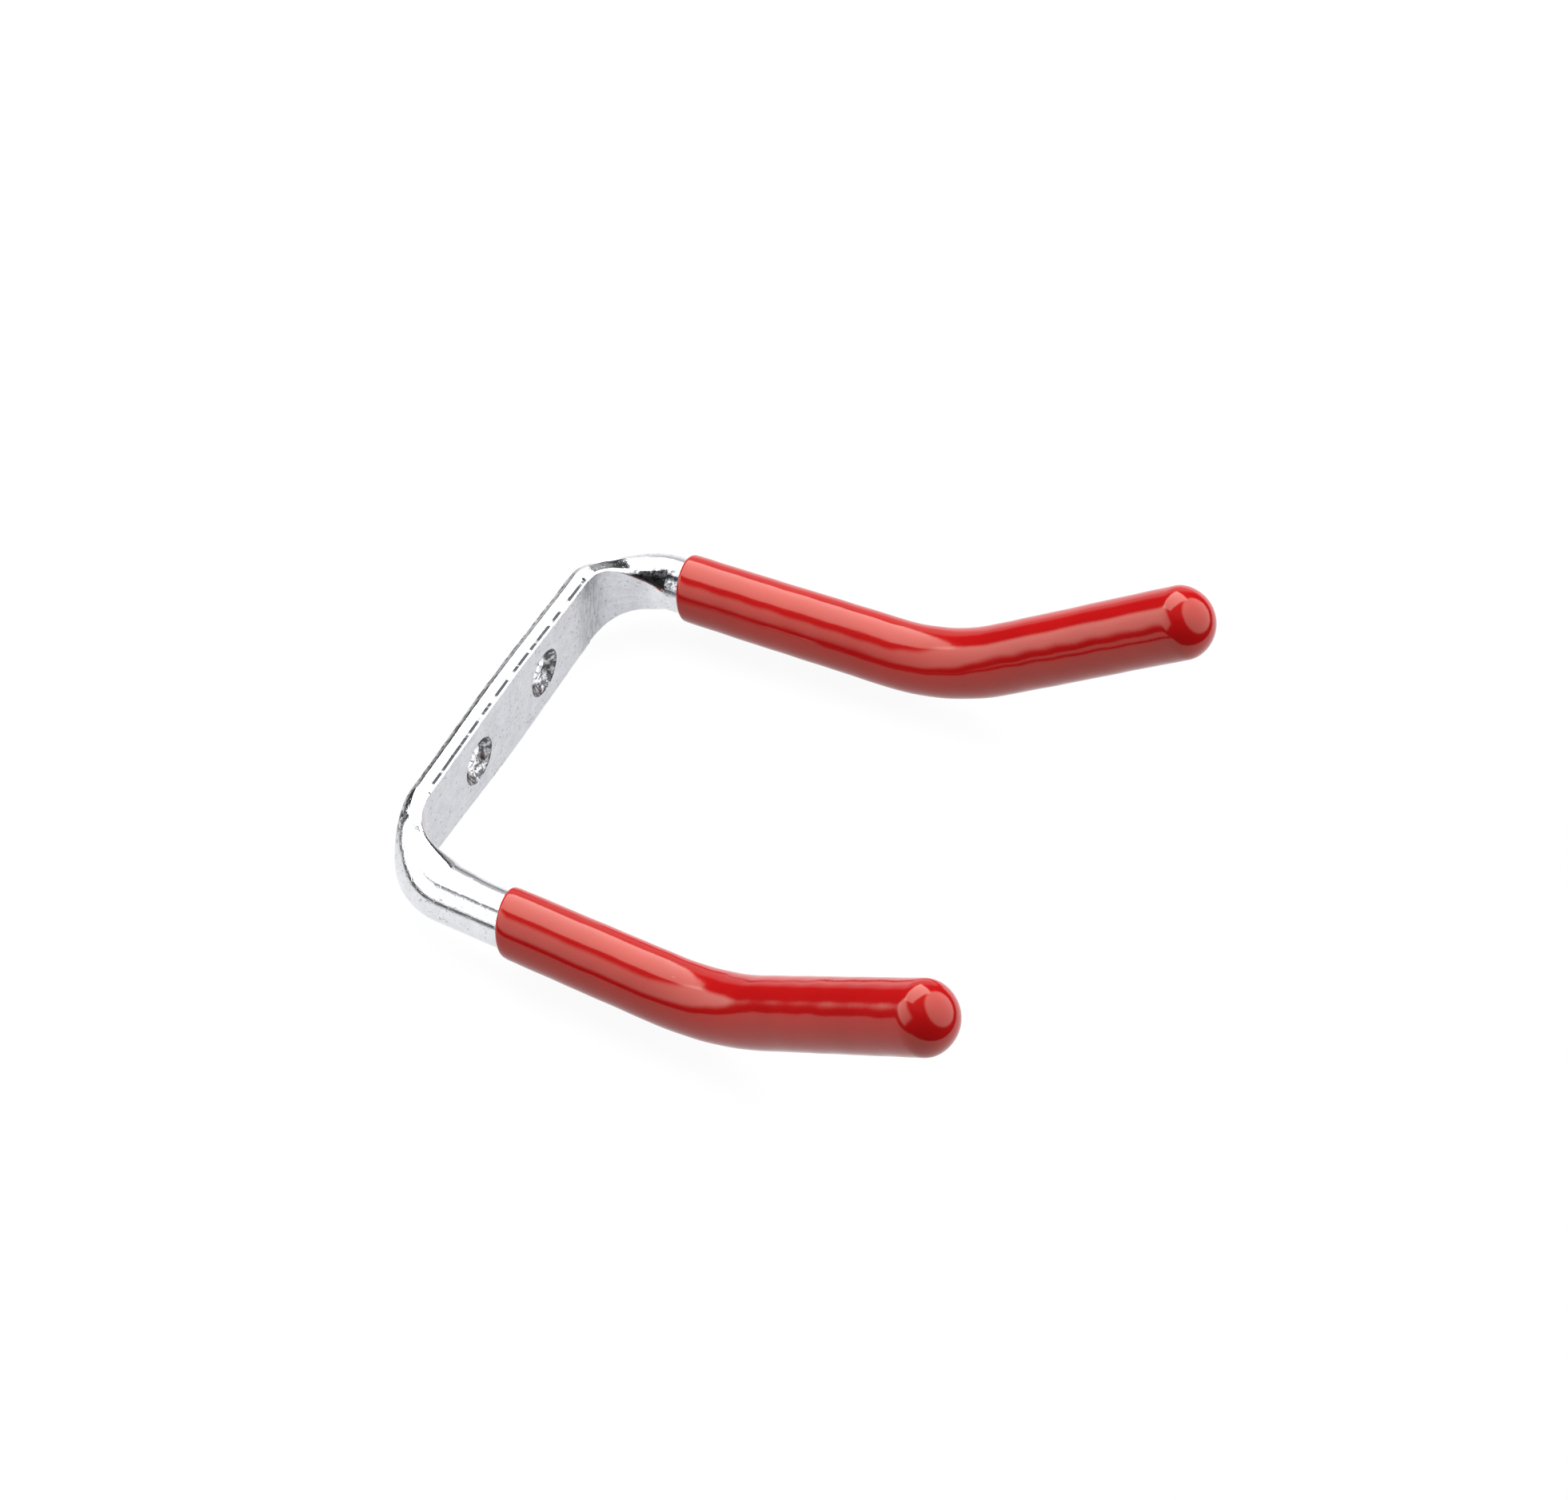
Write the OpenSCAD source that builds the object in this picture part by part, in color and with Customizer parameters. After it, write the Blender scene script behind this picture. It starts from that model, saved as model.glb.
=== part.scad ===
/* [Bar] */
// Diameter of the round steel bar
bar_d = 10; // [8:0.5:12]
// Chamfer on the sawn ends of the bar
bar_chamfer = 1.2; // [0.4:0.1:2]

/* [Wall plate] */
// Thickness where the bar is pressed flat
plate_t = 4.3; // [3.4:0.1:5.6]
// Height of the plate at its middle
plate_h = 18; // [16:0.2:22]
// Height of the plate where the bends begin
plate_end_h = 16.4; // [13:0.2:17]
// Rounding along the edges of the plate
edge_r = 1; // [0.6:0.1:1.6]

/* [Screw holes] */
// Distance between the two screw holes
hole_spacing = 24.2; // [18:0.2:30]
// Diameter of the hole for the shank of the screw
screw_d = 5.5; // [4:0.1:7]
// Diameter of the countersink at the front face
sink_d = 9.2; // [8:0.1:11]
// Full angle of the countersink
sink_angle = 90; // [80:1:120]

/* [Arms] */
// Distance between the axes of the arms at the plate
arm_spacing = 83.9; // [76:0.1:110]
// Outward lean of each arm
arm_splay = 2.9; // [0:0.1:6]
// Bend radius of the bar from the plate to an arm
corner_r = 13.5; // [13:0.5:17]
// Angle of the bend at which the pressed bar is round again
round_from = 83; // [60:0.5:83]
// Length of an arm from the corner of the U to the corner of its rise
arm_run = 66.4; // [60:0.2:100]
// Angle by which the front of an arm is bent up
rise_angle = 32; // [15:1:50]
// Outward lean of the plane in which the rise is bent
rise_lean = 8.3; // [0:0.1:15]
// Bend radius of the rise
rise_r = 39; // [20:1:45]
// Length from the corner of the rise to the end of the sleeve
tip_run = 55.2; // [45:0.2:80]

/* [Dip coat] */
// Thickness of the coat where the sleeve begins
coat_back = 1.1; // [0.8:0.1:1.6]
// Thickness of the coat near the tip
coat_front = 1.7; // [1.2:0.1:2.4]
// Thickness of the coat in front of the end of the bar
coat_end = 2.4; // [1.8:0.1:4]
// Rounding from the side of the sleeve to its blunt end
tip_r = 4.6; // [3:0.1:5.4]
// Depth below the edge rounding at which the domed end has its centre
tip_crown = 1; // [0.5:0.1:8]
// Rounding of the edge where the sleeve begins
lip_r = 0.8; // [0.3:0.1:0.8]
// Bare length between the bend and the start of the right sleeve
bare_len = 1.2; // [0.2:0.2:10]
// Angle by which the dip line slopes from arm to arm
dip_skew = 6.4; // [0:0.1:8]
// Angle by which the dip line slopes from top to bottom
dip_tilt = 9; // [0:0.5:12]

/* [Hidden] */
$fn = 64;
steel = [0.80, 0.82, 0.84];
vinyl = [0.78, 0.08, 0.09];
bar_r = bar_d / 2;
mid_y = -plate_t / 2;
turn = 90 - arm_splay;
corner_set = corner_r * tan(turn / 2);
plate_end = arm_spacing / 2 - corner_set;
rise_set = rise_r * tan(rise_angle / 2);
rise_start = arm_run - rise_set;
rise_len = rise_r * rise_angle * PI / 180;
front_len = tip_run - rise_set;
// Shares of that bend over which the height of the pressed bar and the outer
// side of its section are round again, sooner than the whole section is
height_share = 0.74;
outer_share = 0.5;
// Share of that bend before its inner side grows, and how soon the flat left on
// that side gets narrower, where 1 is that of a plain flat on a round bar
inner_wait = 0.23;
face_power = 1.14;
// Stations along half of the plate, along each bend, over the blunt end and over
// the lip, and points round one corner of a section
plate_steps = 5;
bend_steps = 18;
round_steps = 2;
rise_steps = 8;
tip_steps = 7;
lip_steps = 3;
corner_steps = 8;
// Room by which a cutting shape runs past what it cuts
past = 1;

// Smooth step from 0 to 1
function ease(t) = let (c = min(1, max(0, t))) c * c * (3 - 2 * c);
function blend(a, b, t) = a + (b - a) * t;

// Half-width of the flat left on a round bar that is pressed to a half-thickness
function chord(half_t) = sqrt(max(0, bar_r * bar_r - half_t * half_t));

// Oblong section as points across the bar and up it, whose corners are rounded
// by their own radius on the outer side and on the inner side of the U
function oblong(half_t, half_h, outer, inner) = [
    for (q = [0 : 3])
    for (i = [0 : corner_steps - 1])
    let (a = (q + (i + 0.5) / corner_steps) * 90)
    let (sx = (q == 0 || q == 3) ? 1 : -1)
    let (sz = q < 2 ? 1 : -1)
    let (r = sx > 0 ? outer : inner)
    [sx * (half_t - r) + r * cos(a), sz * (half_h - r) + r * sin(a)]
];
function disc(r) = oblong(r, r, r, r);

// Section of the pressed bar, from 0 at the middle of the plate to 1 where the
// bend starts, and from there to 2 where the bar is round again
function pressed(k) =
    let (run = max(0, k - 1))
    let (flat_h = blend(plate_h, plate_end_h, ease(k)) / 2)
    let (half_h = blend(flat_h, bar_r, ease(run / height_share)))
    let (out_t = blend(plate_t / 2, bar_r, ease(run)))
    let (in_t = blend(plate_t / 2, bar_r, ease((run - inner_wait) / (1 - inner_wait))))
    let (half_t = (out_t + in_t) / 2)
    let (face = (flat_h - edge_r) * pow(chord(in_t) / chord(plate_t / 2), face_power))
    let (inner = max(edge_r, min(half_t, half_h - face)))
    let (outer = blend(edge_r, bar_r, ease(run / outer_share)))
    let (round_out = max(inner, min(outer, half_h, 2 * half_t - inner)))
    [for (p = oblong(half_t, half_h, round_out, inner)) [p[0] + (out_t - in_t) / 2, p[1]]];

// A section stood across the path in the plate, and across the corner of the U
function in_plate(x, shape) = [for (p = shape) [x, p[0], p[1]]];
function in_corner(a, shape) = [
    for (p = shape)
    let (r = corner_r + p[0])
    [plate_end + r * sin(a), r * cos(a) - corner_r, p[1]]
];

// From outward, along and upward on the right arm to the frame of the part
function on_arm(p) = [
    arm_spacing / 2 + p[0] * cos(arm_splay) + p[1] * sin(arm_splay),
    p[0] * sin(arm_splay) - p[1] * cos(arm_splay),
    p[2]
];
// The rise is bent in a plane that leans outward: a section and a place there
function lean_in(p) = [
    p[0] * cos(rise_lean) - p[1] * sin(rise_lean),
    p[0] * sin(rise_lean) + p[1] * cos(rise_lean)
];
function lean_out(side, along, rise) = on_arm([
    side * cos(rise_lean) + rise * sin(rise_lean),
    along,
    rise * cos(rise_lean) - side * sin(rise_lean)
]);

// A section stood across the arm in its rise, and in front of the rise
function in_rise(a, shape) = [
    for (p = shape)
    let (q = lean_in(p))
    let (r = rise_r - q[1])
    lean_out(q[0], rise_start + r * sin(a), rise_r - r * cos(a))
];
function in_front(l, shape) = [
    for (p = shape)
    let (q = lean_in(p))
    let (r = rise_r - q[1])
    lean_out(
        q[0],
        rise_start + r * sin(rise_angle) + l * cos(rise_angle),
        rise_r - r * cos(rise_angle) + l * sin(rise_angle)
    )
];
function mirrored(ring) = [for (p = ring) [-p[0], p[1], p[2]]];

// Rings of the right arm of the bar, from the start of its rise to its end
bar_end = front_len - coat_end;
arm_rings = concat(
    [for (i = [0 : rise_steps]) in_rise(rise_angle * i / rise_steps, disc(bar_r))],
    [in_front(bar_end - bar_chamfer, disc(bar_r)), in_front(bar_end, disc(bar_r - bar_chamfer))]
);

// Rings of the right half of the bar, from beside the middle of the plate on
half_rings = concat(
    [for (i = [1 : plate_steps]) in_plate(plate_end * i / plate_steps, pressed(i / plate_steps))],
    [for (i = [1 : bend_steps]) in_corner(round_from * i / bend_steps, pressed(1 + i / bend_steps))],
    [for (i = [1 : round_steps]) in_corner(blend(round_from, turn, i / round_steps), disc(bar_r))],
    arm_rings
);
half_count = len(half_rings);
bar_rings = concat(
    [for (i = [half_count - 1 : -1 : 0]) mirrored(half_rings[i])],
    [in_plate(0, pressed(0))],
    half_rings
);

// The coat ends on one sloping dip line, which is a plane through both arms
slope_x = tan(dip_skew);
slope_z = tan(dip_tilt);
start_r = bar_r + coat_back;
dip_reach = start_r * norm([sin(arm_splay) - slope_x * cos(arm_splay), slope_z]);
dip_pace = cos(arm_splay) + slope_x * sin(arm_splay);
dip_line = (corner_set + bare_len) * dip_pace + slope_x * arm_spacing / 2 + dip_reach;

// Distance along an arm at which a line of it meets the dip line, with side at
// 1 for the right arm and at -1 for the left one
function dip_at(side, p) =
    let (skew = side * slope_x)
    let (sway = p[0] * (sin(arm_splay) - skew * cos(arm_splay)))
    (dip_line + sway - skew * arm_spacing / 2 - slope_z * p[1]) / (cos(arm_splay) + skew * sin(arm_splay));
function at_dip(side, ahead, shape) = [
    for (p = shape)
    on_arm([p[0], dip_at(side, p) + ahead, p[1]])
];

// Blunt end: a rounded edge that runs on tangent into a flatter crown, both
// as radius and height above the centre of the edge rounding
set_in = bar_r + coat_front - tip_r;
crown_r = tip_r + norm([set_in, tip_crown]);
crown_from = atan2(tip_crown, set_in);
blunt_end = [
    for (i = [0 : tip_steps])
    let (a = 90 * i / (tip_steps + 0.5))
    a < crown_from
        ? [set_in + tip_r * cos(a), tip_r * sin(a)]
        : [crown_r * cos(a), crown_r * sin(a) - tip_crown]
];
edge_at = front_len - (crown_r - tip_crown);

// Radius of the coat, which grows evenly from the bend to the blunt end
coat_len = rise_start - corner_set + rise_len + edge_at;
function coat_r(s) = bar_r + blend(coat_back, coat_front, s / coat_len);
function coat_at_rise(share) = disc(coat_r(rise_start - corner_set + rise_len * share));

// A sleeve is one skin: it starts at the end of the bar, runs back on the bar to
// the dip line, turns over the lip and runs forward on the coat to the blunt end
function sleeve_rings(side) = concat(
    [for (i = [len(arm_rings) - 1 : -1 : 0]) arm_rings[i]],
    [at_dip(side, 0, disc(bar_r))],
    [
        for (i = [0 : lip_steps])
        let (a = 90 * i / lip_steps)
        at_dip(side, lip_r * (1 - cos(a)), disc(start_r - lip_r * (1 - sin(a))))
    ],
    [for (i = [0 : rise_steps]) in_rise(rise_angle * i / rise_steps, coat_at_rise(i / rise_steps))],
    [for (p = blunt_end) in_front(edge_at + p[1], disc(p[0]))]
);

// Skin over a row of rings that have equally many points, closed at both ends
module loft(rings) {
    n = len(rings[0]);
    last = len(rings) - 1;
    points = [for (ring = rings) each ring];
    sides = [
        for (i = [0 : last - 1])
        for (j = [0 : n - 1])
        let (a = i * n + j)
        let (b = i * n + (j + 1) % n)
        each [[a, a + n, b], [b, a + n, b + n]]
    ];
    start_cap = [for (j = [0 : n - 1]) j];
    end_cap = [for (j = [n - 1 : -1 : 0]) last * n + j];
    polyhedron(points, concat([start_cap], sides, [end_cap]));
}

// Countersunk hole, open at the front and the back
module screw_hole(x) {
    sink_depth = (sink_d - screw_d) / 2 / tan(sink_angle / 2);
    translate([x, past, 0])
        rotate([90, 0, 0])
            cylinder(d = screw_d, h = plate_t + 2 * past);
    translate([x, sink_depth - plate_t, 0])
        rotate([90, 0, 0])
            cylinder(d1 = screw_d, d2 = sink_d, h = sink_depth);
    translate([x, -plate_t, 0])
        rotate([90, 0, 0])
            cylinder(d = sink_d, h = past);
}

module steel_bar() {
    color(steel)
        difference() {
            translate([0, mid_y, 0])
                loft(bar_rings);
            screw_hole(-hole_spacing / 2);
            screw_hole(hole_spacing / 2);
        }
}

module left_sleeve() {
    color(vinyl)
        translate([0, mid_y, 0])
            mirror([1, 0, 0])
                loft(sleeve_rings(-1));
}

module right_sleeve() {
    color(vinyl)
        translate([0, mid_y, 0])
            loft(sleeve_rings(1));
}

steel_bar();
left_sleeve();
right_sleeve();
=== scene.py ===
# %% [markdown]
# # A wall hook bent from round bar
#
# The hook is one steel bar. Its middle is pressed flat into a wall plate with two
# countersunk holes, both ends turn forward into a U, and the fronts of the arms
# rise. Each arm was dipped in red PVC, which left a glossy sleeve.
#
# The lesson builds the bar and the two sleeves as surfaces that a short program
# sweeps along one path, and then gives them their finishes.

import math

import bpy
import numpy as np
from mathutils import Matrix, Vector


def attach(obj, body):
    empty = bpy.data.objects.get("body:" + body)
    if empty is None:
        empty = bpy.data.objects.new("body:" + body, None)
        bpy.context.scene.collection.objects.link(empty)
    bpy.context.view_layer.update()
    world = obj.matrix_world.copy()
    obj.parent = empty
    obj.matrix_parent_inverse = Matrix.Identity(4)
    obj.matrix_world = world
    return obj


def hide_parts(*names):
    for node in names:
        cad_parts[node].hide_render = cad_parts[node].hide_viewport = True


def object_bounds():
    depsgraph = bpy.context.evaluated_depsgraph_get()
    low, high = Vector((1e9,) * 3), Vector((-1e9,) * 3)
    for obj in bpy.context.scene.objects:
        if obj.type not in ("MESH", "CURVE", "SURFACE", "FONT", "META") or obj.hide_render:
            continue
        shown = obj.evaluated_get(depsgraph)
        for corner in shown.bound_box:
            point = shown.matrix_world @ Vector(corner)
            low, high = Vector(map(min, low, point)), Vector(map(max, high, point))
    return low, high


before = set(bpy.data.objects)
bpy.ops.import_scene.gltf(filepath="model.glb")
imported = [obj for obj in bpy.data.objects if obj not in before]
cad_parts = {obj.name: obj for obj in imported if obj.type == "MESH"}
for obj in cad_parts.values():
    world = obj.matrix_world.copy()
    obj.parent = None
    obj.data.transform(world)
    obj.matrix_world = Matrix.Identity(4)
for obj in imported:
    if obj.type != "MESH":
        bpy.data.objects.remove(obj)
cad_low, cad_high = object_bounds()
print("solids:", sorted(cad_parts))
print("box in mm:", [round(1000 * (b - a), 1) for a, b in zip(cad_low, cad_high)])

# %% [markdown]
# ## Sizes
#
# One table of sizes in millimetres drives every piece, so the sleeve always fits
# the bar. The numbers are those of the solids. Metres come in only at the very
# end, when a finished surface goes into its mesh.

# %% Sizes in millimetres
MM = 0.001
bar_r = 5.0
plate_t, plate_h, plate_end_h = 4.3, 18.0, 16.4
front_edge_r, back_edge_r = 0.6, 1.9
hole_spacing, screw_d, sink_d = 24.2, 5.5, 9.2
arm_spacing, arm_splay, corner_r, round_from = 83.9, 2.9, 13.5, 83.0
arm_run, rise_angle, rise_lean, rise_r, tip_run = 66.4, 32.0, 8.3, 39.0, 55.2
coat_back, coat_front, coat_end, bar_chamfer = 1.1, 1.7, 2.4, 1.2
tip_r, tip_crown, lip_r = 4.6, 1.0, 0.8
bare_len, dip_skew, dip_tilt = 1.2, 6.4, 9.0
height_share, outer_share, inner_wait, face_power = 0.74, 0.5, 0.23, 1.14

turn = math.radians(90 - arm_splay)
corner_set = corner_r * math.tan(turn / 2)
plate_end = arm_spacing / 2 - corner_set
rise = math.radians(rise_angle)
rise_set = rise_r * math.tan(rise / 2)
# Lengths of the path's five stretches, from the middle of the plate to the tip
stretch = np.array([
    plate_end, corner_r * turn, arm_run - rise_set - corner_set, rise_r * rise, tip_run - rise_set
])
ends = np.cumsum(stretch)
print("ends of the stretches in mm:", ends.round(1))

# %% [markdown]
# ## Camera
#
# The photograph looks down on the hook from the front left through a long lens.
# A long lens far away keeps the two arms nearly equal in width, so the lens and
# the distance matter as much as the direction. The camera's own axes are worked
# out from an azimuth and an elevation, and the point it looks at is shifted a
# little along them to frame the hook.

# %% Camera
def view_axes(azimuth, elevation):
    """Right, up and back of a camera that looks at the origin from that side, in degrees."""
    a, e = math.radians(azimuth), math.radians(elevation)
    right = np.array([math.cos(a), math.sin(a), 0.0])
    up = np.array([-math.sin(a) * math.sin(e), math.cos(a) * math.sin(e), math.cos(e)])
    back = np.array([math.sin(a) * math.cos(e), -math.cos(a) * math.cos(e), math.sin(e)])
    return right, up, back


right, up, back = view_axes(-63.189, 46.585)
aim = np.array([0.0, -60 - plate_t / 2, 0.0]) - 3.511 * right + 13.089 * up
spot = aim + 1185.85 * back
camera_data = bpy.data.cameras.new("camera")
camera_data.lens, camera_data.sensor_width = 8498.86 / 1961 * 36, 36
camera_data.sensor_fit = "HORIZONTAL"
camera_data.clip_start, camera_data.clip_end = 0.05, 50
camera = bpy.data.objects.new("camera", camera_data)
pose = np.eye(4)
pose[:3, :3] = np.stack([right, up, back], axis=1)
pose[:3, 3] = spot * MM
camera.matrix_world = Matrix(pose.tolist())
bpy.context.scene.collection.objects.link(camera)
bpy.context.scene.camera = camera
print("lens in mm:", round(camera_data.lens, 1), "distance in mm: 1186")

# %% [markdown]
# ## Node expressions
#
# A material is a small calculation for every point of a surface. Written with
# nodes it soon fills a screen, so a wire of the node tree gets Python's own
# arithmetic here: an expression on wires adds the Math nodes by itself. Every
# other kind of node comes from one method.

# %% Wires that calculate
class Wire:
    """An output socket. Arithmetic on it adds Math nodes and gives the new wire."""

    def __init__(self, tree, socket):
        self.tree, self.socket = tree, socket

    @classmethod
    def node(cls, tree, kind, settings=None, sockets=None, out=0):
        """Adds a node: its settings first, then a value or a wire for each socket."""
        made = tree.nodes.new(kind)
        for key, value in (settings or {}).items():
            if key == "stops":
                ramp = made.color_ramp
                while len(ramp.elements) < len(value):
                    ramp.elements.new(0.5)
                for element, (place, colour) in zip(ramp.elements, value):
                    element.position, element.color = place, colour
            else:
                setattr(made, key, value)
        for key, value in (sockets or {}).items():
            if isinstance(value, cls):
                tree.links.new(value.socket, made.inputs[key])
            else:
                made.inputs[key].default_value = value
        return cls(tree, made.outputs[out])

    def out(self, name):
        """Another output of the same node."""
        return Wire(self.tree, self.socket.node.outputs[name])

    def math(self, operation, *others):
        sockets = {i: v for i, v in enumerate((self, *others))}
        return Wire.node(self.tree, "ShaderNodeMath", {"operation": operation}, sockets)

    def __add__(self, other):
        return self.math("ADD", other)

    __radd__ = __add__

    def __mul__(self, other):
        return self.math("MULTIPLY", other)

    __rmul__ = __mul__

    def __sub__(self, other):
        return self.math("SUBTRACT", other)

    def __rsub__(self, other):
        return (self * -1.0) + other

    def __truediv__(self, other):
        return self.math("DIVIDE", other)

    def __abs__(self):
        return self.math("ABSOLUTE")

    def __pow__(self, other):
        return self.math("POWER", other)

    def step(self, low, high):
        """Smooth step: 0 at low, 1 at high, with a soft start and end."""
        return Wire.node(
            self.tree, "ShaderNodeMapRange", {"interpolation_type": "SMOOTHSTEP"},
            {"Value": self, "From Min": low, "From Max": high, "To Min": 0.0, "To Max": 1.0},
        )

    def mix(self, first, second):
        """Colour mix, with this wire as the factor: first at 0 and second at 1."""
        sockets = {0: self, 6: first, 7: second}
        return Wire.node(self.tree, "ShaderNodeMix", {"data_type": "RGBA"}, sockets, out=2)

    def to_output(self, kind, socket="Surface"):
        """Ends the tree: links this wire into its output node."""
        output = self.tree.nodes.new(kind)
        self.tree.links.new(self.socket, output.inputs[socket])

    def axes(self):
        """The three numbers of a vector."""
        parts = Wire.node(self.tree, "ShaderNodeSeparateXYZ", None, {0: self})
        return parts, parts.out("Y"), parts.out("Z")


def fresh_tree(owner):
    """Empties the owner's node tree and returns it."""
    owner.use_nodes = True
    owner.node_tree.nodes.clear()
    return owner.node_tree


print("wires ready")

# %% [markdown]
# ## Studio
#
# Three soft lights surround the hook: a big round one in front, a strong one high
# behind on the right and a weaker one behind on the left. Their reflections draw
# the shape of the sleeves, and the dark gaps between them give the bright metal
# its dark lines. Each is an area lamp whose light fades towards its edge, which a
# few nodes on the lamp do. The gaps matter as much as the lamps do: polished steel
# with white all around it would look like paper.

# %% Softboxes
def softbox(name, azimuth, elevation, distance, width, height, radiance,
            across=1.0, upward=1.0, roll=0.0, fade=(0.12, 0.22), round_edge=False):
    """Area lamp at a direction from the hook's middle, in metres, facing it.

    Its radiance counts white as 1 and holds at the lamp's lower left corner. It
    grows evenly to across times that at the right and to upward times that at the
    top, and falls smoothly to nothing at the edge, a rectangle's or a circle's.
    fade is how much of each half width and half height that fall takes up."""
    data = bpy.data.lights.new(name, "AREA")
    data.shape, data.size, data.size_y = "RECTANGLE", width, height
    data.energy = radiance * math.pi * width * height
    tree = fresh_tree(data)
    u, v, _ = Wire.node(tree, "ShaderNodeNewGeometry").out("Parametric").axes()
    if round_edge:
        radius = ((u - 0.5) ** 2.0 + (v - 0.5) ** 2.0) ** 0.5 * 2.0
        mask = 1.0 - radius.step(1.0 - fade[0], 1.0)
    else:
        mask = (1.0 - abs(u - 0.5) * 2.0).step(0.0, fade[0]) * (1.0 - abs(v - 0.5) * 2.0).step(0.0, fade[1])
    strength = mask * (u * (across - 1.0) + 1.0) * (v * (upward - 1.0) + 1.0)
    glow = Wire.node(tree, "ShaderNodeEmission", None, {"Strength": strength})
    glow.to_output("ShaderNodeOutputLight")
    lamp = bpy.data.objects.new(name, data)
    side, upright, away = view_axes(azimuth, elevation)
    c, s = math.cos(math.radians(roll)), math.sin(math.radians(roll))
    turn_to = np.eye(4)
    turn_to[:3, :3] = np.stack([c * side + s * upright, c * upright - s * side, away], axis=1)
    turn_to[:3, 3] = np.array([0.0, -0.06, 0.01]) + distance * away
    lamp.matrix_world = Matrix(turn_to.tolist())
    bpy.context.scene.collection.objects.link(lamp)
    return lamp


softbox("softbox_front", 26, 34, 1.3, 2.8, 2.8, 1.3, across=2.0, upward=1.5, fade=(0.2, 0.2), round_edge=True)
softbox("softbox_right", 136, 56, 1.0, 1.25, 0.88, 5.6, across=0.55, roll=22)
softbox("softbox_left", -140, 34, 1.1, 1.85, 1.05, 4.2, across=0.25, fade=(0.36, 0.5))

# %% [markdown]
# ## Background, tent and table
#
# The background is white for the camera and for everything that mirrors or lets
# light through. Bright metal in nothing but white would look like paper, so a
# photographer hangs dark cloth around the table, outside the picture. Here it is a
# dome of cloth that is dense nearly everywhere, thin overhead and thin low on the
# right, where a pale wall shines through. The camera looks through it.
#
# The table top is a plain pale sheet just under the plate's lower edge. It ends a
# little in front of the hook's tips, keeps a soft shadow, and otherwise looks as
# white as the background.

# %% World
def seen_white(tree):
    """1 on rays that show the background: from the camera, mirrored or let through."""
    rays = Wire.node(tree, "ShaderNodeLightPath")
    mirrored = rays.math("MAXIMUM", rays.out("Is Glossy Ray"))
    return rays, mirrored.math("MAXIMUM", rays.out("Is Transmission Ray"))


world = bpy.data.worlds.new("studio")
bpy.context.scene.world = world
tree = fresh_tree(world)
_, seen = seen_white(tree)
level = seen + (1.0 - seen) * 0.6
room = Wire.node(tree, "ShaderNodeBackground", None, {"Color": (1, 1, 1, 1), "Strength": level})
room.to_output("ShaderNodeOutputWorld")
print("world from", len(tree.nodes), "nodes")

# %% Sheets
def sheet(name, grid):
    """Open mesh over a grid of points (rows, columns, 3) in metres."""
    n, m = grid.shape[:2]
    i, j = np.meshgrid(np.arange(n - 1), np.arange(m - 1), indexing="ij")
    quads = np.stack([i * m + j, (i + 1) * m + j, (i + 1) * m + j + 1, i * m + j + 1], axis=-1)
    mesh = bpy.data.meshes.new(name)
    mesh.from_pydata(grid.reshape(-1, 3).tolist(), [], quads.reshape(-1, 4).tolist())
    piece = bpy.data.objects.new(name, mesh)
    bpy.context.scene.collection.objects.link(piece)
    return piece


def dome(radius, azimuths=48, elevations=24):
    """Part of a sphere around the hook, in metres, from 60 degrees below to nearly overhead.

    Formula in words: a point is the radius times the direction of its azimuth and
    elevation, both spread evenly."""
    a = np.radians(np.linspace(-180, 180, azimuths + 1))[:, None]
    e = np.radians(np.linspace(-60, 89.5, elevations + 1))[None, :]
    return radius * np.stack([np.sin(a) * np.cos(e), -np.cos(a) * np.cos(e), np.sin(e) + 0 * a], axis=-1)


cloth = bpy.data.materials.new("dark_cloth")
tree = fresh_tree(cloth)
tent_r = 2.6
x, y, z = Wire.node(tree, "ShaderNodeTexCoord").out("Object").axes()
x, y, z = x / tent_r, y / tent_r, z / tent_r
low_wall = (x * 0.883 + y * 0.469).step(0.84, 0.93) * (1.0 - z.step(0.46, 0.56)) * 0.65
overhead = z.step(0.80, 0.95) * 0.15
rays, _ = seen_white(tree)
thin = rays.math("MAXIMUM", rays.out("Is Transmission Ray")).math("MAXIMUM", low_wall + overhead + 0.03)
dense = Wire.node(tree, "ShaderNodeBsdfDiffuse", None, {"Color": (0.01, 0.01, 0.01, 1)})
open_air = Wire.node(tree, "ShaderNodeBsdfTransparent")
cloth_look = Wire.node(tree, "ShaderNodeMixShader", None, {0: thin, 1: dense, 2: open_air})
cloth_look.to_output("ShaderNodeOutputMaterial")
tent = sheet("tent", dome(tent_r))
tent.data.materials.append(cloth)
print("tent's cloth from", len(tree.nodes), "nodes")

# %% Table top
table_z = cad_low[2] - 0.0002
half_table, table_front = 3.0, -0.178
corners = [[(-half_table, table_front, table_z), (-half_table, half_table, table_z)],
           [(half_table, table_front, table_z), (half_table, half_table, table_z)]]
table = sheet("table_top", np.array(corners))
paper = bpy.data.materials.new("paper")
tree = fresh_tree(paper)
_, seen = seen_white(tree)
matte = Wire.node(tree, "ShaderNodeBsdfDiffuse", None, {"Color": (0.42, 0.42, 0.425, 1)})
white = Wire.node(tree, "ShaderNodeEmission", None, {"Color": (1, 1, 1, 1), "Strength": 1.15})
paper_look = Wire.node(tree, "ShaderNodeMixShader", None, {0: seen * 0.80, 1: matte, 2: white})
paper_look.to_output("ShaderNodeOutputMaterial")
table.data.materials.append(paper)
print("table at mm:", round(1000 * table_z, 2))

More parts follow.
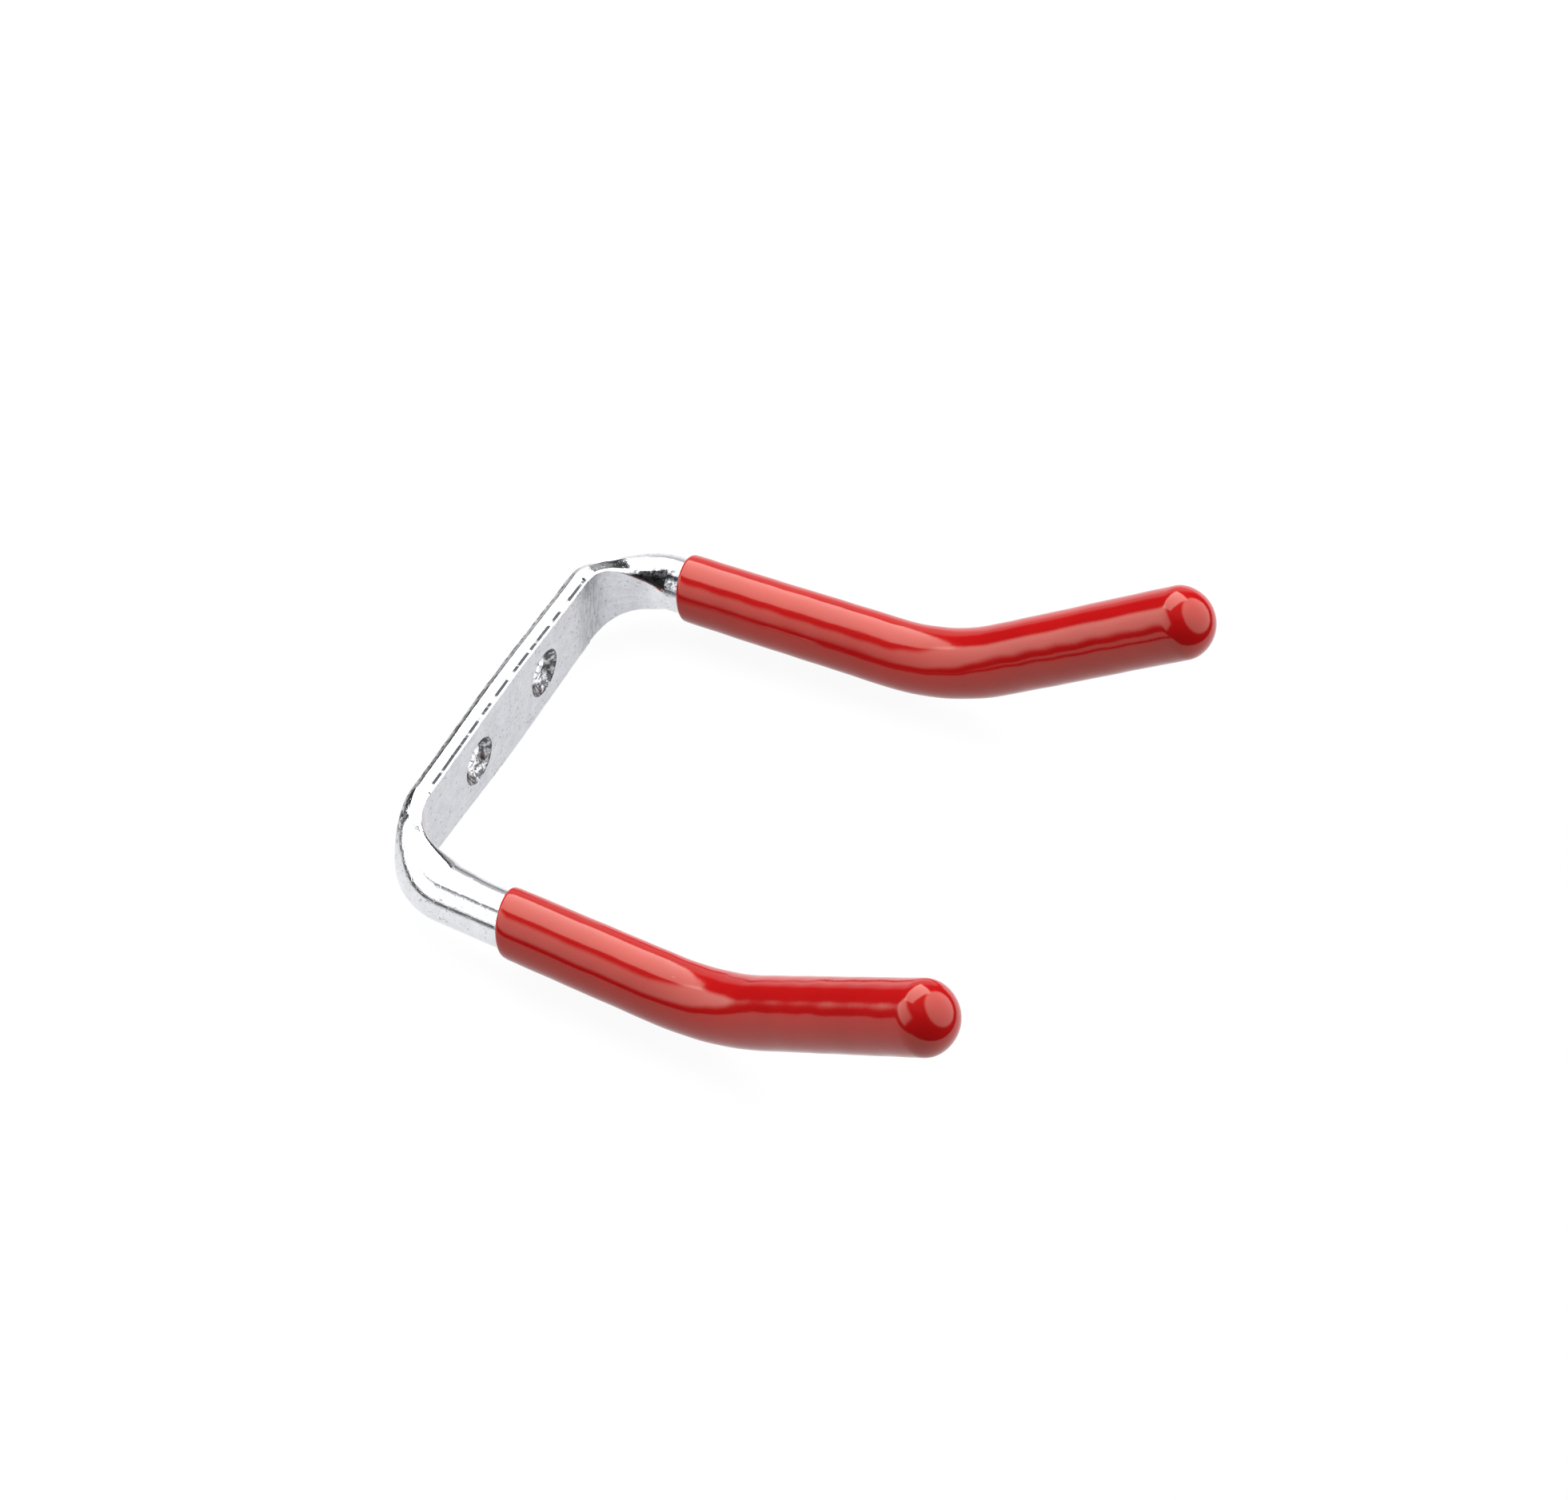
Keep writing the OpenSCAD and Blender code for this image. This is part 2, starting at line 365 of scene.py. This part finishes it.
# %% [markdown]
# ## The path
#
# Every piece follows the centre line of the bar: straight along the plate, round
# the corner, straight along the arm, up the rise and straight to the tip. At each
# distance along it the path gives a place and two directions, outward and upward,
# on which a section can stand. Worked out as whole arrays, thousands of stations
# cost no more than one.

# %% Path
def path(s):
    """Place, outward and upward directions at distances s in mm from the plate's middle.

    Formula in words: a distance is shared out over the five stretches. The corner
    and the rise turn the direction by their distance over their radius, and each
    stretch adds its own straight piece or arc to the place."""
    s = np.asarray(s, float)[:, None]
    starts = np.concatenate([[0.0], ends[:-1]])
    plate, corner, back_run, climb, _ = np.clip(s - starts, 0, stretch).T[:, :, None]
    front_run = np.maximum(s - starts[4], 0)
    a, t = corner / corner_r, climb / rise_r
    z_axis = np.array([[0.0, 0.0, 1.0]])
    out = np.concatenate([np.sin(a), np.cos(a), 0 * a], axis=1)
    ahead = np.concatenate([np.cos(a), -np.sin(a), 0 * a], axis=1)
    lean = math.radians(rise_lean)
    across = out * math.cos(lean) - z_axis * math.sin(lean)
    climb_to = z_axis * math.cos(lean) + out * math.sin(lean)
    climb_now = climb_to * np.cos(t) - ahead * np.sin(t)
    ahead_now = ahead * np.cos(t) + climb_to * np.sin(t)
    place = np.concatenate([plate + corner_r * np.sin(a), corner_r * (np.cos(a) - 1), 0 * a], axis=1)
    place = place + ahead * back_run
    place = place + rise_r * (np.sin(t) * ahead + (1 - np.cos(t)) * climb_to)
    place = place + ahead_now * front_run
    outward = across * math.cos(lean) + climb_now * math.sin(lean)
    upward = climb_now * math.cos(lean) - across * math.sin(lean)
    return place, outward, upward


def stand(s, side, height):
    """Puts sections on the path: side and height are arrays of stations by points."""
    place, outward, upward = path(s)
    rings = place[:, None] + side[..., None] * outward[:, None] + height[..., None] * upward[:, None]
    rings[..., 1] -= plate_t / 2
    return rings


print("tip at mm:", (path([ends[-1]])[0][0] - [0, plate_t / 2, 0]).round(1))

# %% [markdown]
# ## From rings to a mesh
#
# A surface arrives as a grid: rings of points, one after the other. Neighbouring
# rings are joined by quads, and each end closes on one middle point. The grid also
# gives the UV map for free, which the finishes use to run streaks along the bar.

# %% Skin
def skin(name, rings, along):
    """Closed mesh over rings (stations, points, 3) in mm, with a UV of turn and metres along."""
    n, m = rings.shape[:2]
    poles = np.stack([rings[0].mean(axis=0), rings[-1].mean(axis=0)])
    points = np.concatenate([rings.reshape(-1, 3), poles]) * MM
    i, j = np.meshgrid(np.arange(n - 1), np.arange(m), indexing="ij")
    k = (j + 1) % m
    quads = np.stack([i * m + j, i * m + k, (i + 1) * m + k, (i + 1) * m + j], axis=-1).reshape(-1, 4)
    j = np.arange(m)
    k = (j + 1) % m
    first = np.stack([np.full(m, n * m), k, j], axis=1)
    last = np.stack([np.full(m, n * m + 1), (n - 1) * m + j, (n - 1) * m + k], axis=1)
    corners = np.concatenate([quads.ravel(), first.ravel(), last.ravel()])
    sizes = np.concatenate([np.full(len(quads), 4), np.full(2 * m, 3)])
    mesh = bpy.data.meshes.new(name)
    mesh.vertices.add(len(points))
    mesh.vertices.foreach_set("co", points.ravel())
    mesh.loops.add(len(corners))
    mesh.loops.foreach_set("vertex_index", corners)
    mesh.polygons.add(len(sizes))
    mesh.polygons.foreach_set("loop_start", np.cumsum(sizes) - sizes)
    mesh.update(calc_edges=True)
    i, j = np.meshgrid(np.arange(n - 1), np.arange(m), indexing="ij")
    u = np.stack([j, j + 1, j + 1, j], axis=-1).ravel() / m
    v = along[np.stack([i, i, i + 1, i + 1], axis=-1).ravel()] * MM
    j = np.arange(m)
    u_first = np.stack([j + 0.5, j + 1.0, j], axis=1).ravel() / m
    u_last = np.stack([j + 0.5, j, j + 1.0], axis=1).ravel() / m
    u = np.concatenate([u, u_first, u_last])
    v = np.concatenate([v, np.full(3 * m, along[0] * MM), np.full(3 * m, along[-1] * MM)])
    layer = mesh.uv_layers.new(name="turn_and_run")
    layer.data.foreach_set("uv", np.stack([u, v], axis=1).ravel())
    mesh.polygons.foreach_set("use_smooth", np.ones(len(sizes), bool))
    mesh.validate()
    piece = bpy.data.objects.new(name, mesh)
    bpy.context.scene.collection.objects.link(piece)
    print(name, len(points), "points", len(sizes), "faces")
    return piece


# %% [markdown]
# ## The bar
#
# Rolling mills sell this bar round. The press squeezes its middle between flat
# dies: the faces become flat, the metal bulges up and down, and a short way into
# each bend the bar is round again. One section formula covers all of it. Its four
# corners are rounded, small on the pressed plate and as large as the bar itself on
# the arms, where the four roundings make the full circle.

# %% Section of the bar
def ease(t):
    t = np.clip(t, 0, 1)
    return t * t * (3 - 2 * t)


def blend(a, b, t):
    return a + (b - a) * t


def oblong(half_t, half_h, back_r, front_r, theta):
    """Outline of an oblong, for arrays of sizes (stations, 1) and angles (1, points).

    Formula in words: a point is a rounding of its corner's radius around the
    corner's centre. The centre slides from side to side while the angle passes
    near 0, 90, 180 or 270 degrees, along a cubic that starts and stops softly, so
    the flats are nearly flat and the outline has no kink."""
    window = math.sin(math.radians(22))

    def slide(value):
        c = np.clip(value / window, -1, 1)
        return 1.5 * c - 0.5 * c ** 3

    toward_back = 0.5 + 0.5 * slide(np.cos(theta))
    r = front_r + (back_r - front_r) * toward_back
    side = (half_t - r) * slide(np.cos(theta)) + r * np.cos(theta)
    height = (half_h - r) * slide(np.sin(theta)) + r * np.sin(theta)
    return side, height


def bar_section(s, theta, hand=1):
    """Sides and heights of the bar's section at distances s, pressed flat near 0.

    The two bends didn't come out of the press alike: on the left one (hand -1)
    the upper edge stays high for longer and its inner side is filled a little."""
    s = np.asarray(s, float)[:, None]
    theta = theta[None, :]
    reach = corner_r * math.radians(round_from)
    run = np.clip((s - plate_end) / reach, 0, 1)
    flat_h = blend(plate_h, plate_end_h, ease(s / plate_end)) / 2
    half_h = blend(flat_h, bar_r, ease(run / height_share))
    out_t = blend(plate_t / 2, bar_r, ease(run))
    in_t = blend(plate_t / 2, bar_r, ease((run - inner_wait) / (1 - inner_wait)))
    chord = np.sqrt(np.maximum(bar_r ** 2 - in_t ** 2, 0)) / math.sqrt(bar_r ** 2 - plate_t ** 2 / 4)
    face = (flat_h - front_edge_r) * chord ** face_power
    if hand < 0:
        in_t = in_t + 0.8 * ease(1 - abs(s - ends[1] + 3.0) / 11.0)
    half_t = (out_t + in_t) / 2
    room = half_h - face
    front_r = (front_edge_r + room + np.sqrt((front_edge_r - room) ** 2 + 0.8)) / 2
    front_r = np.maximum(front_r, front_edge_r + (bar_r - front_edge_r) * run ** (1.6 if hand < 0 else 2.6))
    front_r = np.where(run > 0, np.minimum(front_r, half_t), front_edge_r)
    back_r = blend(back_edge_r, bar_r, ease(run / outer_share))
    back_r = np.maximum(front_r, np.minimum(np.minimum(back_r, half_h), 2 * half_t - front_r))
    side, height = oblong(half_t, half_h, back_r, front_r, theta)
    if hand < 0:
        lift = blend(flat_h, bar_r, ease(run / 1.0)) - half_h
        height = height + lift * (0.5 + 0.5 * np.sin(theta)) ** 2
    return side + (out_t - in_t) / 2, height


theta = np.linspace(0, 2 * np.pi, 160, endpoint=False)
print("plate's section in mm:", [round(float(np.ptp(v)), 2) for v in bar_section([0.0], theta)])

# %% Stations and press marks
def press_marks(s, theta):
    """Depth in mm by which the pressed surface is uneven: soft waves and a die mark.

    Formula in words: slow waves of a few unrelated lengths along and around the
    bar, faded out where the bar is round, and at the plate's right end a short
    dent on the front half of the upper edge."""
    s, theta = s[:, None], theta[None, :]
    waves = np.sin(0.83 * s + 2.0 * np.sin(theta)) * np.sin(0.31 * s + theta)
    waves = waves + 0.6 * np.sin(1.9 * s + 3.0 * theta) + 0.5 * np.sin(0.57 * s - 2.0 * theta + 1.0)
    pressed = 1 - ease((np.abs(s) - plate_end) / (corner_r * 1.3))
    upper = np.exp(-((theta - math.radians(112)) / math.radians(26)) ** 2)
    dent = np.exp(-((s - plate_end - 0.6) / 1.3) ** 2) * upper * (1 + 0.3 * np.sin(7 * theta))
    return 0.012 + 0.022 * (waves + 2.1) * (0.25 + 0.75 * pressed) + 0.26 * dent


half = np.concatenate([
    np.linspace(0.18, plate_end, 84, endpoint=False),
    np.linspace(plate_end, ends[1], 104, endpoint=False),
    np.linspace(ends[1], ends[2], 34, endpoint=False),
    np.linspace(ends[2], ends[3], 26, endpoint=False),
    np.linspace(ends[3], ends[4] - coat_end - bar_chamfer, 8),
])
def bar_half(hand):
    """Rings of half the bar on the right arm's path, the last one set in by the chamfer."""
    side, height = bar_section(half, theta, hand)
    last = (1 - bar_chamfer / bar_r) * np.stack([side[-1:], height[-1:]])
    side, height = np.concatenate([side, last[0]]), np.concatenate([height, last[1]])
    return stand(np.append(half, ends[4] - coat_end), side, height)


bar_rings = np.concatenate([bar_half(-1)[::-1] * [-1, 1, 1], bar_half(1)])
half = np.append(half, ends[4] - coat_end)
bar_run = np.concatenate([-half[::-1], half])

ring_out = np.roll(bar_rings, -1, axis=1) - np.roll(bar_rings, 1, axis=1)
ring_ahead = np.gradient(bar_rings, axis=0)
normal = np.cross(ring_out, ring_ahead)
normal /= np.linalg.norm(normal, axis=2, keepdims=True)
bar_rings = bar_rings - normal * press_marks(bar_run, theta)[..., None]
bar = skin("pressed_bar", bar_rings, bar_run)

# %% [markdown]
# ## Screw holes
#
# Each hole is drilled through and countersunk from the front, and the tool leaves
# a tiny rolled edge at the mouth. Turning a profile round the drill's axis gives
# the shape of what the tool takes away, and a Boolean modifier takes it out of the
# bar. Its result is kept as the bar's own mesh, so nothing is left to work out
# later.

# %% Drill
def turned(name, profile, x, count=120):
    """Closed shape of a profile (rows of y and radius, in mm) turned round a line along Y at x."""
    angle = np.linspace(0, 2 * np.pi, count, endpoint=False)
    y, r = np.asarray(profile, float).T
    rings = np.stack([
        x + r[:, None] * np.cos(angle),
        np.repeat(y[:, None], count, axis=1),
        r[:, None] * np.sin(angle),
    ], axis=-1)
    return skin(name, rings, y)


sink_depth = (sink_d - screw_d) / 2
roll = np.radians(np.linspace(0, 40, 5))
mouth = np.stack([-plate_t + 0.16 - 0.28 * np.sin(roll), sink_d / 2 - 0.10 + 0.28 * (1 - np.cos(roll))], axis=1)
profile = np.concatenate([
    [[1.0, screw_d / 2 + 0.0], [-0.6, screw_d / 2], [-1.6, screw_d / 2]],
    [[-plate_t + sink_depth, screw_d / 2]],
    np.stack([np.linspace(-plate_t + 1.5, -plate_t + 0.3, 7), np.linspace(sink_d / 2 - 1.5, sink_d / 2 - 0.3, 7)], axis=1),
    mouth,
    [[-plate_t - 1.5, sink_d / 2 + 0.1]],
])
for x in (-hole_spacing / 2, hole_spacing / 2):
    drill = turned("drill", profile, x)
    cut = bar.modifiers.new("hole", "BOOLEAN")
    cut.operation, cut.solver, cut.object = "DIFFERENCE", "EXACT", drill
    evaluated = bar.evaluated_get(bpy.context.evaluated_depsgraph_get())
    drilled = bpy.data.meshes.new_from_object(evaluated)
    bar.modifiers.clear()
    old = bar.data
    bar.data = drilled
    bpy.data.meshes.remove(old)
    bpy.data.objects.remove(drill)
drilled.name = "pressed_bar"
drilled.set_sharp_from_angle(angle=math.radians(32))
print("bar has", len(bar.data.polygons), "faces with its holes")
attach(bar, "root")
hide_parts("steel_bar")

# %% [markdown]
# ## The dipped sleeves
#
# The arms hung in a bath of liquid PVC and were baked. The bath's surface left one
# straight line across both arms, and because the hook hung a little askew the
# line slopes: the right sleeve begins nearer to the plate. The coat gets thicker
# towards the blunt end, has a rounded lip where it begins, and is never perfectly
# even. A sleeve is one skin that runs back along the bar inside, turns over the
# lip and runs forward outside.

# %% Sleeve
slope_x, slope_z = math.tan(math.radians(dip_skew)), math.tan(math.radians(dip_tilt))
splay = math.radians(arm_splay)
start_r = bar_r + coat_back
dip_reach = start_r * math.hypot(math.sin(splay) - slope_x * math.cos(splay), slope_z)
dip_pace = math.cos(splay) + slope_x * math.sin(splay)
dip_line = (corner_set + bare_len) * dip_pace + slope_x * arm_spacing / 2 + dip_reach


def dip_at(hand, side, height):
    """Distance along the arm from the U's corner where a line of it meets the bath's surface."""
    skew = hand * slope_x
    sway = side * (math.sin(splay) - skew * math.cos(splay))
    reach = dip_line + sway - skew * arm_spacing / 2 - slope_z * height
    return reach / (math.cos(splay) + skew * math.sin(splay))


def sleeve_rings(hand, theta):
    """Rings of a sleeve on the right arm's path, for hand 1 right or -1 left.

    Formula in words: a round section whose radius grows evenly along the arm,
    less a little for the unevenness, over a start that slopes with the bath's
    surface and whose lip is a quarter circle, up to a blunt end of two arcs."""
    phase = 0.0 if hand > 0 else 1.7
    set_in = bar_r + coat_front - tip_r
    crown_r = tip_r + math.hypot(set_in, tip_crown)
    crown_from = math.atan2(tip_crown, set_in)
    edge_at = ends[4] - (crown_r - tip_crown)
    cos_t, sin_t = np.cos(theta)[None, :], np.sin(theta)[None, :]
    base = ends[1] - corner_set

    def coat_r(s):
        return start_r + (coat_front - coat_back) * (s - ends[1]) / (edge_at - ends[1])

    lip = np.radians(np.linspace(0, 90, 11))[:, None]
    lip_side = (start_r - lip_r * (1 - np.sin(lip)))
    lip_s = base + dip_at(hand, lip_side * cos_t, lip_side * sin_t) + lip_r * (1 - np.cos(lip))
    inner_r = bar_r + 0.01
    inner_start = base + dip_at(hand, inner_r * cos_t, inner_r * sin_t)
    wobble = 0.28 * np.sin(2 * theta + phase) + 0.2 * np.sin(3 * theta + 2 * phase)
    full_s = lip_s[-1:]
    way = np.linspace(0, 1, 150)[1:, None]
    run_s = full_s + (edge_at - full_s) * way
    a = np.radians(np.linspace(0, 87, 34))[1:, None]
    end_r = np.where(a < crown_from, set_in + tip_r * np.cos(a), crown_r * np.cos(a))
    end_s = edge_at + np.where(a < crown_from, tip_r * np.sin(a), crown_r * np.sin(a) - tip_crown)
    in_s = np.linspace(ends[4] - coat_end, ends[2], 24)[:, None] + 0 * cos_t
    s = np.concatenate([in_s, inner_start, lip_s, run_s, end_s + 0 * cos_t])
    r = np.concatenate([
        0 * in_s + inner_r, 0 * inner_start + inner_r, lip_side + 0 * cos_t, coat_r(run_s), end_r + 0 * cos_t
    ])
    r[0] = bar_r - bar_chamfer
    outer = np.arange(len(s))[:, None] > 25
    uneven = np.sin(0.21 * s + phase) * np.sin(theta + 1.0) + 0.6 * np.sin(0.53 * s + 2 * theta + phase)
    uneven = uneven + 0.5 * np.sin(0.95 * s - 3 * theta)
    r = r - outer * (0.012 + 0.020 * (uneven + 2.1))
    lip_wave = np.exp(-((s - full_s) / 2.5) ** 2) * outer
    s = s + 0.25 * wobble[None, :] * lip_wave
    return s, r


def sleeve(name, hand):
    theta = np.linspace(0, 2 * np.pi, 128, endpoint=False)
    s, r = sleeve_rings(hand, theta)
    flat = s.ravel()
    rings = stand(flat, (r * np.cos(theta)).reshape(-1, 1), (r * np.sin(theta)).reshape(-1, 1))
    rings = rings.reshape(*s.shape, 3)
    if hand < 0:
        rings = rings[:, ::-1] * [-1, 1, 1]
    return skin(name, rings, s.mean(axis=1))


sleeves = [sleeve("left_coat", -1), sleeve("right_coat", 1)]
for piece, node in zip(sleeves, ("left_sleeve", "right_sleeve")):
    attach(piece, "root")
    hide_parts(node)

# %% [markdown]
# ## Finish of the steel
#
# Zinc plating is nearly a mirror, but the pressed bar under it is pitted and
# scratched. So the metal is bright with a low roughness, and fine bumps break up
# the edges of what it reflects. Streaks follow the bar, which needs the UV map;
# the pits read the object's own coordinates.

# %% Zinc
zinc = bpy.data.materials.new("zinc")
tree = fresh_tree(zinc)
here = Wire.node(tree, "ShaderNodeTexCoord").out("Object")
px, py, pz = here.axes()
u, run, _ = Wire.node(tree, "ShaderNodeTexCoord").out("UV").axes()


def noise(vector, scale, detail=3.0, rough=0.55):
    """Soft noise from 0 to 1 over a vector; scale counts lumps per metre."""
    values = {"Vector": vector, "Scale": scale, "Detail": detail, "Roughness": rough}
    return Wire.node(tree, "ShaderNodeTexNoise", None, values)


def combine(a, b, c):
    return Wire.node(tree, "ShaderNodeCombineXYZ", None, {0: a, 1: b, 2: c})


lengthwise = combine(u * 0.31, run * 0.06, 0.0)
streak = noise(lengthwise, 700.0, 4.0)
scratch = noise(combine(u * 0.035, run + u * 0.004, 0.0), 1500.0, 3.0, 0.6)
grain = noise(here, 2600.0, 4.0, 0.65)
lumps = noise(here, 420.0, 2.0)
pits = noise(here, 1500.0, 2.0, 0.5).step(0.60, 0.74)
blotches = noise(here, 1100.0, 3.0, 0.6).step(0.36, 0.58)

radial = ((abs(px) - hole_spacing / 2 * MM) ** 2.0 + pz ** 2.0) ** 0.5
in_cone = (1.0 - radial.step(0.00455, 0.00465)) * radial.step(0.00282, 0.0029)
in_cone = in_cone * (1.0 - py.step(-0.0022, -0.0020))
from_end = abs(run) - plate_end * MM
right_end = run - plate_end * MM
pressed = 1.0 - from_end.step(0.012, 0.018)
inner_face = (1.0 - abs(u - 0.5).step(0.085, 0.115)) * pressed
# At the plate's right end the front face is painted darker: painted shade for the shadowed crease there, broken
# by short scratches.
die_end_shade = inner_face * (1.0 - abs(right_end - 0.0005).step(0.001, 0.007))
# Near both plate ends a band along the back upper edge is painted dark in flecks: a painted dark reflection.
back_edge_shade = (1.0 - abs(u - 0.118).step(0.040, 0.060)) * (1.0 - from_end.step(0.005, 0.011))
# A broken dark line is painted along the plate's upper front crease: painted shade in the crease, which the bump
# also sinks a little.
crease_shade = (1.0 - abs(u - 0.292).step(0.009, 0.018)) * (1.0 - from_end.step(-0.001, 0.002))
# On the right bend, just past the plate, the upper front is painted dark in flecks: painted shade where the
# bend's dark reflection falls.
bend_shade_patch = (1.0 - abs(u - 0.350).step(0.050, 0.075)) * (1.0 - abs(right_end - 0.0185).step(0.0055, 0.0085))
broken = noise(combine(0.0, run, 0.0), 260.0, 3.0).step(0.34, 0.50)
flecks = noise(here, 1100.0, 4.0, 0.7).step(0.45, 0.56)
print("plate's inner face ends at mm:", round(plate_end, 2))

# %% Zinc, put together
roughness = (streak - 0.5) * 0.05 + (grain - 0.5) * 0.07 + pits * 0.10 + in_cone * 0.16 + inner_face * 0.12 + 0.11
tone = grain.step(0.35, 0.62) * 0.35 + streak.step(0.3, 0.7) * 0.3 + lumps.step(0.3, 0.7) * 0.35
outer_zinc = tone.mix((0.64, 0.65, 0.68, 1), (0.80, 0.81, 0.83, 1))
# The plate's front face is rougher, and its darker zinc is painted shade for the dim floor that this face
# mirrors.
dull_shaded_zinc = tone.mix((0.50, 0.50, 0.54, 1), (0.68, 0.69, 0.72, 1))
colour = inner_face.mix(outer_zinc, dull_shaded_zinc)
# Painted shade at the plate's right end, with scratches through it.
colour = (die_end_shade * (scratch.step(0.40, 0.62) * 0.35 + 0.30)).mix(colour, (0.20, 0.20, 0.22, 1))
# One dark colour serves the pits and the countersinks' marks, and also the painted shade and painted dark
# reflections near the plate's ends.
dark_marks_and_shade = pits * 0.4 + in_cone * (blotches * 0.63 + 0.29) + back_edge_shade * (flecks * 0.7 + 0.3)
dark_marks_and_shade = dark_marks_and_shade + crease_shade * broken + bend_shade_patch * (flecks * 0.55 + 0.3)
colour = dark_marks_and_shade.mix(colour, (0.03, 0.032, 0.036, 1))
relief = grain * 0.35 + lumps * 0.9 + streak * 0.30 - pits * 0.55 + in_cone * blotches * 1.2
relief = relief + scratch * inner_face * 0.35 - back_edge_shade * flecks * 0.5 - crease_shade * broken * 0.8
bump = Wire.node(tree, "ShaderNodeBump", None, {"Strength": 0.35, "Distance": 0.00010, "Height": relief})
metal = Wire.node(tree, "ShaderNodeBsdfPrincipled", None, {
    "Base Color": colour, "Metallic": 1.0, "Roughness": roughness, "Normal": bump,
})
metal.to_output("ShaderNodeOutputMaterial")
bar.data.materials.clear()
bar.data.materials.append(zinc)
print("zinc from", len(tree.nodes), "nodes")

# %% [markdown]
# ## Finish of the sleeves
#
# Dipped PVC is deep red through its whole thickness and very glossy. Its surface
# has slow lumps from the dripping bath and a scatter of pinholes from bubbles, and
# both show only where they bend a reflection.

# %% Vinyl
vinyl = bpy.data.materials.new("vinyl")
tree = fresh_tree(vinyl)
here = Wire.node(tree, "ShaderNodeTexCoord").out("Object")
slow = noise(here, 90.0, 2.0, 0.4)
orange_peel = noise(here, 900.0, 2.0, 0.5)
cell = Wire.node(tree, "ShaderNodeTexVoronoi", {"feature": "F1"}, {"Vector": here, "Scale": 210.0})
pinholes = (1.0 - cell.step(0.025, 0.060)) * noise(here, 60.0, 1.0).step(0.50, 0.62)
height = slow * 1.0 + orange_peel * 0.10 - pinholes * 0.30
bump = Wire.node(tree, "ShaderNodeBump", None, {"Strength": 0.25, "Distance": 0.0003, "Height": height})
tone = slow.step(0.3, 0.7) * 0.6 + orange_peel * 0.4
red = tone.mix((0.35, 0.0040, 0.0048, 1), (0.39, 0.0052, 0.0060, 1))
red = (pinholes * 0.5).mix(red, (0.60, 0.16, 0.13, 1))
gloss = orange_peel * 0.05 + pinholes * 0.2 + 0.085
plastic = Wire.node(tree, "ShaderNodeBsdfPrincipled", None, {
    "Base Color": red, "Roughness": gloss, "IOR": 1.5, "Normal": bump,
    "Specular Tint": (1.0, 0.97, 0.80, 1.0),
})
plastic.to_output("ShaderNodeOutputMaterial")
for piece in sleeves:
    piece.data.materials.clear()
    piece.data.materials.append(vinyl)
print("vinyl from", len(tree.nodes), "nodes")

# %% View and finish
bpy.context.scene.view_settings.view_transform = "Standard"
